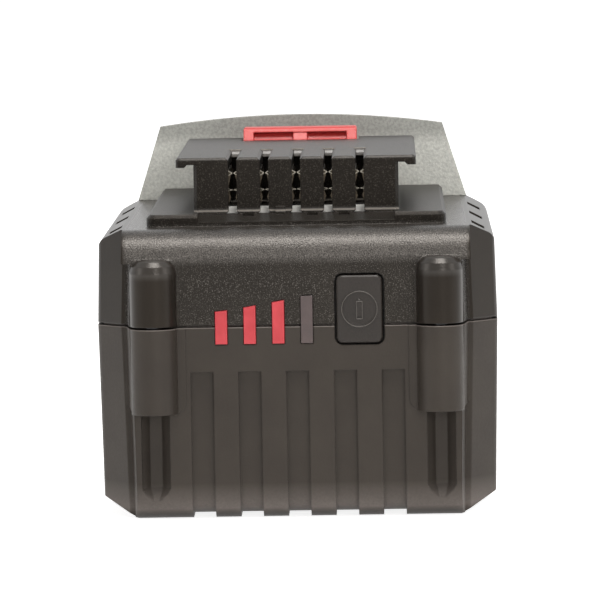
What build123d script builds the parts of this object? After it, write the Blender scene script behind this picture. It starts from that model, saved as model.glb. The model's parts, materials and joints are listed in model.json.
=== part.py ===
"""Power tool battery pack: two housing shells, terminal rail, charge gauge, release latch and ten cells.

Millimetres, +Z up. The origin is the middle of the underside, the gauge end faces -Y and the button end +Y.
"""

import os
from math import cos, hypot, radians, sin, tan

from build123d import *

os.makedirs("parts", exist_ok=True)

# Body of the pack
flank_room = 6.8
end_room = 6.5
roof_room = 7.4
seam_drop = 4.8
seam_gap = 0.45
wall = 2.4
corner_radius = 6.0
flank_crown = 0.2
upper_draft = 1.5
lower_draft = 1.2
front_round = 6.0
rear_round = 3.0
foot_round = 6.5
shoulder_slope_run = 3.0
shoulder_slope_drop = 1.55
shoulder_round_run = 1.75
shoulder_round_drop = 2.55
foot_chamfer_run = 7.2
foot_chamfer_rise = 4.0
overrun = 4.0

# Front corners: a slanting facet, and a notch beside each column under the brow
facet_run = 5.0
facet_depth = 6.0
facet_round = 2.5
notch_depth = 6.3
notch_splay = 0.8
notch_overlap = 0.15
brow_lip = 0.3

# Joint between the two shells
tongue_inset = 1.25
tongue_height = 1.6
tongue_clearance = 0.15

# Grooves round the tub
groove_count = 5
groove_pitch = 9.3
groove_width = 4.4
groove_depth = 1.0
groove_drop = 8.9

# Screw columns at the four corners
column_inset = 11.5
column_radius = 4.55
column_drop = 16.9
column_rise = 13.2
column_round = 2.6
column_bands = 3
boss_half_width = 4.0
boss_depth = 3.9
pad_margin_in = 1.6
pad_margin_top = 0.5
pad_margin_out = 1.2
pad_thickness = 0.3
pad_round = 2.4
driver_width = 5.5
driver_sides = 8
driver_end = 3.6
driver_end_taper = 30.0

# Housing screws
screw_head_radius = 2.65
screw_head_height = 2.3
screw_head_depth = 5.0
screw_head_sides = 8
screw_sides = 6
screw_shaft_radius = 1.45
screw_length = 20.0
screw_drive_width = 1.0
screw_drive_length = 3.4
screw_drive_depth = 1.2
screw_clearance = 0.05
screw_tip_room = 1.0

# Guide plinth under the rail
plinth_land = 9.2
plinth_rise = 2.4
plinth_setback = 13.0
plinth_corner = 2.0
plinth_edge = 0.7
ramp_margin = 0.9
ramp_front_drop = 1.5
ramp_rear_drop = 0.4
floor_pocket_width = 2.1
floor_pocket_length = 2.0
floor_pocket_depth = 1.2
snap_tab_width = 2.0
snap_tab_rise = 1.4
snap_tab_depth = 1.2

# Terminal rail
rail_setback = 20.0
rail_end_gap = 5.0
neck_side = 7.66
neck_rise = 8.8
neck_corner = 0.7
plate_wing = 3.5
plate_thickness = 1.9
plate_corner = 0.9
plate_edge = 0.45
lip_width = 1.7
lip_drop = 0.55

# Terminal slots and the chambers behind them
slot_count = 5
slot_pitch = 6.27
slot_width = 1.65
slot_length = 31.5
slot_flare = 0.55
slot_foot_flare = 0.45
chamber_width = 4.4
front_web = 2.2
chamber_end_web = 0.8
chamber_roof = 2.3
dash_width = 0.3
dash_length = 1.3
dash_depth = 0.25

# Stop plate at the far end
shield_inset = 6.0
shield_thickness = 2.6
shield_top_width = 59.3
shield_foot_reach = 0.35
shield_corner_rise = 15.4
shield_crown_rise = 17.6
shield_peg_width = 1.8
shield_peg_length = 2.0
shield_peg_pitch = 18.0
shield_peg_count = 4
peg_clearance = 0.1

# Side vents on the shoulders
vent_count = 3
vent_pitch = 30.0
vent_length = 7.8
vent_width = 2.9
vent_depth = 1.4
vent_first_setback = 19.0

# Release latch
latch_width = 23.5
latch_inset = 23.0
latch_depth = 8.0
latch_rise = 2.5
latch_ramp_run = 1.5
latch_gap = 0.35
latch_travel = 4.0
latch_shell = 2.2
latch_rim = 2.1
latch_rib = 2.9
latch_top_rim = 0.95
latch_pocket_depth = 1.1
latch_edge = 0.3
flange_rim = 1.0
flange_thickness = 2.7
flange_lead = 2.0
flange_gap = 0.3
skirt_thickness = 1.6
skirt_margin = 1.5
skirt_drop = 17.0
thumb_drop = 9.0
thumb_proud = 0.8
thumb_ledge = 2.4
thumb_ledge_height = 2.0
thumb_rib_count = 3
thumb_rib_pitch = 2.0
thumb_rib_size = 0.8

# Latch springs
spring_inset = 3.5
spring_coil_radius = 2.3
spring_wire_radius = 0.35
spring_turns = 4
spring_turn_steps = 8
spring_cup_sides = 8
spring_pin_radius = 1.5
spring_pin_height = 2.0
spring_cup_depth = 0.8
spring_cup_clearance = 0.3

# Charge gauge bars
bar_count = 4
bar_first_x = -14.7
bar_pitch = 5.55
bar_width = 2.3
bar_drop = 3.5
bar_heights = (6.45, 7.25, 8.2, 9.2)
bar_top_rises = (0.25, 0.4, 0.4, 0.1)
bar_clearance = 0.1
bar_flange = 0.6
bar_flange_thickness = 0.8
bar_proud = 0.05

# Gauge button and the switch behind it
button_x = 12.2
button_rise = 3.0
button_width = 8.9
button_height = 13.1
button_corner = 1.2
button_gap = 0.4
button_proud = 0.3
button_edge = 0.3
button_flange = 0.9
button_flange_thickness = 0.8
button_travel = 0.8
button_ring_radius = 3.5
button_ring_sides = 24
button_ring_width = 0.3
button_ring_height = 0.15
button_mark_width = 1.2
button_mark_height = 3.0
button_mark_cap = 0.5
switch_width = 6.0
switch_depth = 1.6
switch_bore = 1.6
plunger_radius = 1.5
plunger_sides = 12
plunger_length = 1.6
flange_wall_gap = 0.4

# Gauge board
gauge_board_margin = 6.0
gauge_board_drop = 6.9
gauge_board_rise = 11.6
gauge_board_thickness = 1.0
gauge_ledge_height = 1.5
gauge_guide_width = 1.6
gauge_guide_height = 6.0
gauge_guide_gap = 0.2
led_width = 1.6
led_height = 3.0
led_depth = 0.7

# Cells and their holders
cell_radius = 9.1
cell_length = 65.0
cell_nub_radius = 3.4
cell_nub_length = 0.8
cell_sides = 12
cell_nub_sides = 8
cell_web = 0.7
cell_columns = 5
cell_layers = 2
cell_shift = 2.4
cell_clearance = 0.1
foam_thickness = 1.0
foam_width = 10.0
holder_skin = 1.0
holder_depth = 14.0
holder_lip = 0.9
holder_window = 9.0
holder_gap = 0.2
holder_end_chamfer = 3.0
holder_side_chamfer = 1.6
strip_thickness = 0.25
strip_width = 12.0
strip_dimple_width = 5.0

# Control board and what stands on it
standoff_height = 2.4
standoff_radius = 2.6
standoff_inset = 3.5
standoff_sides = 8
board_side_margin = 3.0
board_front_margin = 0.4
board_rear_gap = 1.9
board_thickness = 1.6
board_screw_head_radius = 2.2
board_screw_head_height = 1.5
board_screw_radius = 1.1
board_screw_length = 5.0
board_hole_inset = 4.0
header_width = 10.0
header_depth = 2.4
header_height = 2.5
header_pins = 4
header_pin_pitch = 2.54
header_pin_size = 0.6
header_pin_clearance = 0.1
tab_width = 7.0
tab_thickness = 0.4
tab_rise = 0.5
positive_tab_inset = 4.1
press_rib_inset = 2.5
press_rib_thickness = 1.4
press_rib_setback = 24.5
press_rib_length = 45.0
power_chip_width = 6.5
power_chip_length = 6.0
power_chip_height = 2.3
power_chip_count = 3
power_chip_pitch = 9.0
controller_size = 7.0
controller_height = 1.0
shunt_width = 6.4
shunt_length = 3.2
shunt_height = 0.8
chip_row_gap = 3.0

# Terminal block and the contacts in it
block_clearance = 0.3
block_side_web = 1.6
block_bar_height = 1.2
block_bar_depth = 2.8
contact_length = 20.0
contact_thickness = 0.45
contact_outer = 1.5
contact_pinch = 0.45
contact_stem_width = 1.6
contact_stem_length = 5.0
contact_stem_clearance = 0.1
contact_top_gap = 0.5

# Levels of the cell stack and the boards, which set the height of the body
cell_pitch = 2 * cell_radius + cell_web
holder_foot = wall + foam_thickness
low_cell_z = holder_foot + holder_skin + cell_clearance + cell_radius
top_cell_z = low_cell_z + cell_pitch * (cell_layers - 1)
holder_top = top_cell_z + cell_radius + cell_clearance + holder_skin
board_foot = holder_top + standoff_height
board_top = board_foot + board_thickness
seam_height = holder_top - seam_drop
roof = board_top + roof_room
body_height = roof + wall

# Length and width of the cell stack, which set those of the body
holder_half_length = cell_pitch * (cell_columns - 1) / 2 + cell_radius + cell_clearance + holder_skin
holder_front = cell_shift - holder_half_length
cell_end = cell_length / 2
holder_outer_x = cell_end + cell_clearance + holder_lip
holder_inner_x = holder_outer_x - holder_depth
pack_width = cell_length + 2 * flank_room
body_length = 2 * (holder_half_length + end_room)
cell_places = [
    (cell_shift + cell_pitch * (column - (cell_columns - 1) / 2), low_cell_z + cell_pitch * layer)
    for layer in range(cell_layers)
    for column in range(cell_columns)
]

# Levels and faces that follow from the sizes above
half_width = pack_width / 2
front_face = -body_length / 2
rear_face = body_length / 2
upper_foot = seam_height + seam_gap / 2
lower_top = seam_height - seam_gap / 2
plinth_top = body_height + plinth_rise
plate_under = plinth_top + neck_rise
plate_top = plate_under + plate_thickness
neck_width = slot_pitch * (slot_count - 1) + 2 * neck_side
plate_width = neck_width + 2 * plate_wing
plinth_width = neck_width + 2 * plinth_land
ramp_width = neck_width - 2 * ramp_margin
plinth_front = front_face + plinth_setback
shield_front = rear_face - shield_inset
rail_front = front_face + rail_setback
rail_rear = shield_front - rail_end_gap
rail_length = rail_rear - rail_front
slot_rear = rail_front + slot_length
latch_front = rear_face - latch_inset
latch_back = latch_front + latch_depth
latch_top = plate_top + latch_rise
ramp_rear = plinth_top - ramp_rear_drop
chamber_front = rail_front + front_web
chamber_rear = slot_rear - chamber_end_web
chamber_top = plate_top - chamber_roof
shoulder_low_z = body_height - shoulder_slope_drop - shoulder_round_drop
flank_inset = tan(radians(upper_draft)) * (shoulder_low_z - seam_height)
shoulder_low_x = half_width - flank_inset
shoulder_high_x = shoulder_low_x - shoulder_round_run
flat_top_x = shoulder_high_x - shoulder_slope_run
foot_inset = tan(radians(lower_draft)) * (seam_height - foot_chamfer_rise)
foot_flank_x = half_width - foot_inset
foot_flat_x = foot_flank_x - foot_chamfer_run
groove_top = seam_height - groove_drop
column_x = half_width - column_inset
column_foot = seam_height - column_drop
column_top = seam_height + column_rise
notch_x = column_x + column_radius - notch_overlap
brow_foot = body_height - front_round - brow_lip
slot_places = [slot_pitch * (index - (slot_count - 1) / 2) for index in range(slot_count)]
column_places = [(side * column_x, end * body_length / 2) for side in (-1, 1) for end in (-1, 1)]
inner_front = front_face + wall
quarter_turn = 90
full_turn = 360

# Places of the gauge parts behind the front wall
bar_foot = seam_height - bar_drop
button_z = seam_height + button_rise
gauge_board_width = 2 * (button_x + gauge_board_margin)
gauge_board_foot = seam_height - gauge_board_drop
gauge_board_top = seam_height + gauge_board_rise
button_flange_front = inner_front + flange_wall_gap
button_flange_back = button_flange_front + button_flange_thickness
switch_front = button_flange_back + button_travel + flange_wall_gap / 2
gauge_board_front = switch_front + switch_depth
gauge_board_back = gauge_board_front + gauge_board_thickness
led_front = gauge_board_front - led_depth

# Places of the latch parts
flange_top = roof - flange_gap
flange_foot = flange_top - flange_thickness
flange_front = latch_front - flange_lead
skirt_back = rear_face - wall - flange_wall_gap * 2
skirt_front = skirt_back - skirt_thickness
thumb_foot = flange_top - thumb_drop
thumb_back = rear_face + thumb_proud
window_half = latch_width / 2 + latch_gap
spring_x = holder_inner_x + spring_inset
spring_y = latch_front + latch_depth / 2
spring_foot = holder_top
spring_top = flange_foot + spring_cup_depth

# Places of the control board's parts
standoff_x = holder_inner_x + standoff_inset
board_width = 2 * (standoff_x + board_side_margin)
board_front = holder_front + board_front_margin
board_rear = flange_front - board_rear_gap
board_length = board_rear - board_front
positive_tab_y = board_rear - positive_tab_inset
press_rib_x = holder_outer_x - press_rib_inset
press_rib_front = front_face + press_rib_setback
press_rib_rear = press_rib_front + press_rib_length


def write(part, label):
    """Label a finished piece and write it as one STEP file."""
    part.label = label
    export_step(part, f"parts/{label}.step")


# Outlines and blocks of the body
def rear_outline(inset):
    """Plan of the body at the seam with its front corners cut by the facets, drawn in by inset.

    Outlines drawn in from the outside have plain cut corners in place of the roundings.
    """
    x = half_width - inset
    y = body_length / 2 - inset
    foot_x = x - facet_run
    foot_y = front_face + notch_depth + inset * (hypot(facet_run, facet_depth) - facet_depth) / facet_run
    with BuildSketch() as plan:
        with BuildLine():
            Line((-x + flank_crown, -y), (x - flank_crown, -y))
            ThreePointArc((x - flank_crown, -y), (x, 0), (x - flank_crown, y))
            Line((x - flank_crown, y), (-x + flank_crown, y))
            ThreePointArc((-x + flank_crown, y), (-x, 0), (-x + flank_crown, -y))
        make_face()
        rear_corners = plan.vertices().group_by(Axis.Y)[-1]
        if inset > 0:
            chamfer(rear_corners, length=corner_radius - inset)
        else:
            fillet(rear_corners, radius=corner_radius - inset)
        for side in (-1, 1):
            with BuildLine():
                Polyline((side * (foot_x - 2 * facet_run), foot_y - 2 * facet_depth),
                         (side * (foot_x + 2 * facet_run), foot_y + 2 * facet_depth),
                         (side * (foot_x + 2 * facet_run), foot_y - 2 * facet_depth), close=True)
            make_face(mode=Mode.SUBTRACT)
        if inset <= 0:
            facet_ends = plan.vertices().filter_by(lambda corner: foot_y < corner.Y < 0)
            fillet(facet_ends, radius=facet_round)
    return plan.sketch


def front_outline(inset):
    """Plan of the front part that carries the columns, its sides leaning out towards the rear."""
    half = notch_x - inset
    with BuildSketch() as plan:
        with BuildLine():
            Polyline((-half, front_face + inset), (half, front_face + inset),
                     (half + 2 * notch_splay, front_face + inset + 2 * notch_depth),
                     (-half - 2 * notch_splay, front_face + inset + 2 * notch_depth), close=True)
        make_face()
    return plan.sketch


def notch_outline(inset):
    """Plan of the notches ahead of the facets, as wide as the sheet on their outer sides."""
    length = notch_depth + overrun + inset
    with BuildSketch() as plan:
        for side in (-1, 1):
            with Locations((side * (notch_x - inset + half_width / 2), front_face - overrun + length / 2)):
                Rectangle(half_width, length)
    return plan.sketch


def plan_outline(inset):
    """Whole plan of the body at the seam, drawn in by inset."""
    return rear_outline(inset) - notch_outline(inset) + front_outline(inset)


def drafted(inset, height, draft):
    """Plan outline drawn in towards the top as it rises from the seam."""
    with BuildPart() as block:
        with BuildSketch(Plane.XY.offset(seam_height)):
            add(rear_outline(inset))
        extrude(amount=height, taper=draft)
        with BuildSketch(Plane.XY.offset(seam_height)):
            add(notch_outline(inset))
        extrude(amount=height, mode=Mode.SUBTRACT)
        with BuildSketch(Plane.XY.offset(seam_height)):
            add(front_outline(inset))
        extrude(amount=height, taper=draft)
    return block.part


def brow(inset):
    """Part of the front-top rounding that overhangs the notches, with straight sides."""
    half = half_width - facet_run - inset
    with BuildPart() as block:
        with BuildSketch(Plane.XY.offset(seam_height)):
            with Locations((0, front_face + inset + notch_depth)):
                Rectangle(2 * half, 2 * notch_depth)
        extrude(amount=body_height - seam_height, taper=upper_draft)
        with BuildSketch(Plane.XY.offset(seam_height)):
            Rectangle(pack_width, 2 * body_length)
        extrude(amount=brow_foot - seam_height, mode=Mode.SUBTRACT)
    return block.part


def upper_block(inset):
    """Upper half of the body, drawn in by inset all round and at the top, where it is plain."""
    far_x = half_width + overrun
    far_y = body_length / 2 + overrun
    low = seam_height - overrun
    low_x = shoulder_low_x - inset
    high_x = shoulder_high_x - inset
    top = body_height - inset
    slope_z = top - shoulder_slope_drop
    round_z = shoulder_low_z - inset
    front_reach = front_round - inset
    rear_reach = rear_round - inset
    front_z = top - front_reach
    rear_z = top - rear_reach
    front_y = inset - body_length / 2 + tan(radians(upper_draft)) * (body_height - front_round - seam_height)
    rear_y = body_length / 2 - inset - tan(radians(upper_draft)) * (body_height - rear_round - seam_height)
    with BuildPart() as block:
        add(drafted(inset, body_height - seam_height, upper_draft))
        if inset <= 0:
            add(brow(inset))
        with BuildSketch(Plane.XZ):
            with BuildLine():
                Polyline((0, low), (far_x, low), (far_x, round_z), (low_x, round_z))
                if inset > 0:
                    Line((low_x, round_z), (high_x, slope_z))
                else:
                    TangentArc((low_x, round_z), (high_x, slope_z), tangent=(0, 1))
                Polyline((high_x, slope_z), (flat_top_x - inset, top), (0, top), (0, low))
            make_face()
            mirror(about=Plane.YZ)
        extrude(amount=body_length, both=True, mode=Mode.INTERSECT)
        with BuildSketch(Plane.YZ):
            with BuildLine():
                Polyline((rear_y, rear_z), (far_y, rear_z), (far_y, low), (-far_y, low),
                         (-far_y, front_z), (front_y, front_z))
                if inset > 0:
                    Polyline((front_y, front_z), (front_y + front_reach, top),
                             (rear_y - rear_reach, top), (rear_y, rear_z))
                else:
                    RadiusArc((front_y, front_z), (front_y + front_reach, top), front_reach)
                    Line((front_y + front_reach, top), (rear_y - rear_reach, top))
                    RadiusArc((rear_y - rear_reach, top), (rear_y, rear_z), rear_reach)
            make_face()
        extrude(amount=pack_width, both=True, mode=Mode.INTERSECT)
    return block.part


def lower_block(inset, curved=True):
    """Lower half of the body, drawn in by inset all round and at the bottom."""
    far_x = half_width + overrun
    far_y = body_length / 2 + overrun
    high = seam_height + overrun
    foot_reach = foot_round - inset
    round_z = inset + foot_reach
    end_y = body_length / 2 - inset - tan(radians(lower_draft)) * (seam_height - foot_round)
    chamfer_length = hypot(foot_chamfer_run, foot_chamfer_rise)
    chamfer_x = foot_flat_x - inset * (chamfer_length - foot_chamfer_run) / foot_chamfer_rise
    chamfer_z = foot_chamfer_rise + inset * foot_chamfer_run / (chamfer_length + foot_chamfer_rise)
    with BuildPart() as block:
        add(mirror(drafted(inset, seam_height, lower_draft), about=Plane.XY.offset(seam_height)))
        with BuildSketch(Plane.XZ):
            with BuildLine():
                Polyline((0, inset), (chamfer_x, inset), (foot_flank_x - inset, chamfer_z),
                         (far_x, chamfer_z), (far_x, high), (0, high), (0, inset))
            make_face()
            mirror(about=Plane.YZ)
        extrude(amount=body_length, both=True, mode=Mode.INTERSECT)
        with BuildSketch(Plane.YZ):
            with BuildLine():
                Polyline((end_y, round_z), (far_y, round_z), (far_y, high), (-far_y, high),
                         (-far_y, round_z), (-end_y, round_z))
                if curved:
                    RadiusArc((-end_y, round_z), (-end_y + foot_reach, inset), -foot_reach)
                    Line((-end_y + foot_reach, inset), (end_y - foot_reach, inset))
                    RadiusArc((end_y - foot_reach, inset), (end_y, round_z), -foot_reach)
                else:
                    Polyline((-end_y, round_z), (-end_y + foot_reach, inset),
                             (end_y - foot_reach, inset), (end_y, round_z))
            make_face()
        extrude(amount=pack_width, both=True, mode=Mode.INTERSECT)
    return block.part


def column(outline):
    """One screw column about the origin, turned from its outline, which ends on the axis."""
    with BuildPart() as post:
        with BuildSketch(Plane.XZ):
            with BuildLine():
                Polyline(*outline, close=True)
            make_face()
        revolve(axis=Axis.Z)
    return post.part


def pad(low, high, margin):
    """Thin raised pads round the columns on both ends, with their margin and cut off at given levels."""
    inner = column_x - column_radius - margin
    outer = column_x + column_radius + pad_margin_out
    with BuildPart() as pads:
        for side in (-1, 1):
            with BuildSketch(Plane.XZ):
                with Locations((side * (inner + outer) / 2, (column_foot + column_top) / 2)):
                    RectangleRounded(outer - inner, column_top - column_foot, pad_round)
            extrude(amount=body_length, both=True)
        with BuildSketch(Plane.XY.offset(low)):
            Rectangle(pack_width, body_length * 2)
        extrude(amount=high - low, mode=Mode.INTERSECT)
    return pads.part


cover_column = column([
    (0, upper_foot),
    (column_radius, upper_foot),
    *[
        (
            column_radius - column_round * (1 - cos(radians(quarter_turn * band / column_bands))),
            column_top - column_round * (1 - sin(radians(quarter_turn * band / column_bands))),
        )
        for band in range(column_bands + 1)
    ],
    (0, column_top),
])
tub_column = column([
    (0, column_foot),
    (column_radius, column_foot),
    (column_radius, lower_top),
    (0, lower_top),
])
upper_outer = upper_block(0)
upper_inner = upper_block(wall)
lower_outer = lower_block(0)
lower_inner = lower_block(wall, curved=False)
upper_pads = pad(upper_foot, column_top, pad_margin_top) & upper_block(-pad_thickness)
lower_pads = pad(column_foot, lower_top, pad_margin_in) & lower_block(-pad_thickness)


def bar_outline(index, grow):
    """Corners of one gauge bar as seen from the front, each side moved out by grow."""
    x = bar_first_x + index * bar_pitch
    half = bar_width / 2 + grow
    foot = bar_foot - grow
    top = bar_foot + bar_heights[index] + grow
    rise = bar_top_rises[index] / 2
    return (x - half, foot), (x + half, foot), (x + half, top + rise), (x - half, top - rise)


# Cutter for the gauge bars and the button, shared by both shells
with BuildPart() as gauge_windows:
    with BuildSketch(Plane.XZ.offset(-front_face + overrun)):
        for index in range(bar_count):
            with BuildLine():
                Polyline(*bar_outline(index, bar_clearance), close=True)
            make_face()
        with Locations((button_x, button_z)):
            RectangleRounded(
                button_width + 2 * button_gap,
                button_height + 2 * button_gap,
                button_corner + button_gap,
            )
    extrude(amount=-(wall + 2 * overrun))

# Lower housing: grooved tub with the lower halves of the screw columns
tongue_top = lower_top + tongue_height
screw_seat = column_foot + screw_head_depth
screw_hole_top = screw_seat + screw_length + screw_tip_room

with BuildSketch() as driver_section:
    RegularPolygon(driver_width / 2, driver_sides, major_radius=False, rotation=full_turn / driver_sides / 2)
driver_outline = driver_section.sketch

with BuildPart() as groove_cutter:
    for index in range(groove_count):
        with BuildSketch(Plane.XY.offset(-overrun)):
            with Locations((groove_pitch * (index - (groove_count - 1) / 2), 0)):
                Rectangle(groove_width, body_length + overrun)
        extrude(amount=groove_top + overrun)
    add(lower_block(groove_depth), mode=Mode.SUBTRACT)

with BuildPart() as tongue:
    with BuildSketch(Plane.XY.offset(lower_top)):
        add(plan_outline(tongue_inset))
        add(plan_outline(wall), mode=Mode.SUBTRACT)
    extrude(amount=tongue_height)

with BuildPart() as lower_bosses:
    with BuildSketch():
        with Locations(*column_places):
            Rectangle(2 * boss_half_width, 2 * boss_depth)
    extrude(amount=lower_top)
    add(lower_block(wall / 2, curved=False), mode=Mode.INTERSECT)
    with BuildSketch(Plane.XY.offset(lower_top)):
        with Locations(*column_places):
            Rectangle(2 * boss_half_width, 2 * boss_depth)
        add(plan_outline(tongue_inset), mode=Mode.INTERSECT)
    extrude(amount=tongue_height)

with BuildPart() as lower_housing:
    add(lower_outer)
    with BuildSketch(Plane.XY.offset(lower_top)):
        Rectangle(pack_width + overrun, body_length + overrun)
    extrude(amount=overrun, mode=Mode.SUBTRACT)
    for x, y in column_places:
        add(tub_column.moved(Location((x, y, 0))))
    add(lower_pads)
    add(lower_inner, mode=Mode.SUBTRACT)
    add(lower_bosses)
    add(tongue)
    add(groove_cutter, mode=Mode.SUBTRACT)
    with BuildSketch(Plane.XY.offset(driver_end + driver_width / 2)):
        with Locations(*column_places):
            add(driver_outline)
    extrude(amount=screw_seat - driver_end - driver_width / 2, mode=Mode.SUBTRACT)
    with BuildSketch(Plane.XY.offset(driver_end + driver_width / 2)):
        with Locations(*column_places):
            add(driver_outline)
    extrude(amount=-driver_width / 2, taper=driver_end_taper, mode=Mode.SUBTRACT)
    with BuildSketch(Plane.XY.offset(screw_seat)):
        with Locations(*column_places):
            RegularPolygon(screw_shaft_radius + screw_clearance, screw_sides)
    extrude(amount=tongue_top - screw_seat, mode=Mode.SUBTRACT)
    guide_y = (inner_front - wall / 2 + gauge_board_back) / 2
    guide_reach = gauge_board_back - inner_front + wall / 2
    guide_x = gauge_board_width / 2 + gauge_guide_gap + gauge_guide_width / 2
    with BuildSketch(Plane.XY.offset(gauge_board_foot - gauge_ledge_height)):
        with Locations((0, guide_y)):
            Rectangle(gauge_board_width + 2 * (gauge_guide_gap + gauge_guide_width), guide_reach)
    extrude(amount=gauge_ledge_height)
    with BuildSketch(Plane.XY.offset(gauge_board_foot)):
        for side in (-1, 1):
            with Locations((side * guide_x, guide_y)):
                Rectangle(gauge_guide_width, guide_reach)
    extrude(amount=gauge_guide_height)
    add(gauge_windows, mode=Mode.SUBTRACT)
write(lower_housing.part, "lower_housing")

# Guide plinth, with the ramp that leads up to the terminal slots
ramp_front = plinth_top - ramp_front_drop
with BuildPart() as plinth:
    with BuildSketch(Plane.XY.offset(body_height - wall / 2)):
        with Locations((0, (plinth_front + shield_front) / 2)):
            Rectangle(plinth_width, shield_front - plinth_front)
    extrude(amount=plinth_rise + wall / 2)
    fillet(plinth.edges().filter_by(Axis.Z).group_by(Axis.Y)[0], radius=plinth_corner)
    chamfer(plinth.edges().group_by(Axis.Z)[-1].sort_by(Axis.Y)[:-1], length=plinth_edge)
    with BuildSketch(Plane.YZ):
        with BuildLine():
            Polyline((plinth_front - overrun, ramp_front), (plinth_front, ramp_front),
                     (rail_front, ramp_rear), (rail_front, plinth_top + overrun),
                     (plinth_front - overrun, plinth_top + overrun), close=True)
        make_face()
    extrude(amount=ramp_width / 2, both=True, mode=Mode.SUBTRACT)

# Neck and plate of the T rail
with BuildPart() as neck:
    with BuildSketch(Plane.XY.offset(body_height)):
        with Locations((0, (rail_front + rail_rear) / 2)):
            Rectangle(neck_width, rail_length)
    extrude(amount=plate_under + plate_thickness / 2 - body_height)
    chamfer(neck.edges().filter_by(Axis.Z), length=neck_corner)

plate_half = plate_width / 2
lip_foot = plate_under + lip_drop
with BuildPart() as rail_plate:
    with BuildSketch(Plane.XZ.offset(-rail_front)):
        with BuildLine():
            Polyline((0, lip_foot), (plate_half - lip_width - lip_drop, lip_foot),
                     (plate_half - lip_width, plate_under), (plate_half, plate_under),
                     (plate_half, plate_top), (0, plate_top), (0, lip_foot))
        make_face()
        mirror(about=Plane.YZ)
    extrude(amount=-rail_length)
    fillet(rail_plate.edges().filter_by(Axis.Z).group_by(Axis.Y)[0], radius=plate_corner)
    chamfer(rail_plate.edges().group_by(Axis.Z)[-1], length=plate_edge)

# Slots for the tool's blades, open at the front and through the plate
slot_half = slot_width / 2
slot_outline = [
    (slot_half + slot_foot_flare, ramp_rear),
    (slot_half, ramp_rear + slot_foot_flare),
    (slot_half, plate_top - slot_flare),
    (slot_half + slot_flare, plate_top),
    (slot_half + slot_flare, plate_top + overrun),
]
with BuildPart() as slot_cutter:
    with BuildSketch(Plane.XZ.offset(-rail_front + overrun)):
        for place in slot_places:
            with BuildLine():
                Polyline(
                    *[(place + half, level) for half, level in slot_outline],
                    *[(place - half, level) for half, level in reversed(slot_outline)],
                    close=True,
                )
            make_face()
    extrude(amount=-(slot_length + overrun))

# Chambers behind the slots, the terminal block's pocket and the hollow of the rail
block_half = slot_places[-1] + chamber_width / 2 + block_side_web
bar_pocket_top = ramp_rear + block_bar_height + block_clearance
bar_pocket_rear = chamber_front + block_bar_depth + 2 * block_clearance
hollow_front = slot_rear + wall
hollow_rear = latch_front - latch_gap - wall
with BuildPart() as rail_hollows:
    with BuildSketch(Plane.XY.offset(roof - overrun)):
        for place in slot_places:
            with Locations((place, (chamber_front + chamber_rear) / 2)):
                Rectangle(chamber_width, chamber_rear - chamber_front)
    extrude(amount=chamber_top - roof + overrun)
    with BuildSketch(Plane.XY.offset(roof - overrun)):
        with Locations((0, (chamber_front + chamber_rear) / 2)):
            Rectangle(2 * block_half + 2 * block_clearance, chamber_rear - chamber_front)
    extrude(amount=ramp_rear - roof + overrun)
    with BuildSketch(Plane.XY.offset(ramp_rear)):
        with Locations((0, (chamber_front + bar_pocket_rear) / 2)):
            Rectangle(2 * block_half + 2 * block_clearance, bar_pocket_rear - chamber_front)
    extrude(amount=bar_pocket_top - ramp_rear)
    with BuildSketch(Plane.XY.offset(roof - overrun)):
        with Locations((0, (hollow_front + hollow_rear) / 2)):
            Rectangle(neck_width - 2 * wall, hollow_rear - hollow_front)
    extrude(amount=plate_under - roof + overrun)

# Openings for the release latch: its window, the notch in the rail and the window in the rear wall
with BuildPart() as latch_openings:
    with BuildSketch(Plane.XY.offset(roof - overrun)):
        with Locations((0, (latch_front + latch_back) / 2)):
            Rectangle(2 * window_half, latch_depth + 2 * latch_gap)
    extrude(amount=plate_top - roof + 2 * overrun)
    with BuildSketch(Plane.XY.offset(plinth_top)):
        with Locations((0, (latch_front - latch_gap + shield_front) / 2)):
            Rectangle(2 * window_half, shield_front - latch_front + latch_gap)
    extrude(amount=plate_top - plinth_top + overrun)
    with BuildSketch(Plane.XY.offset(thumb_foot - latch_travel - latch_gap)):
        with Locations((0, (skirt_front + rear_face + overrun) / 2)):
            Rectangle(2 * window_half, rear_face + overrun - skirt_front)
    extrude(amount=roof - thumb_foot + latch_travel + latch_gap)

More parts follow.
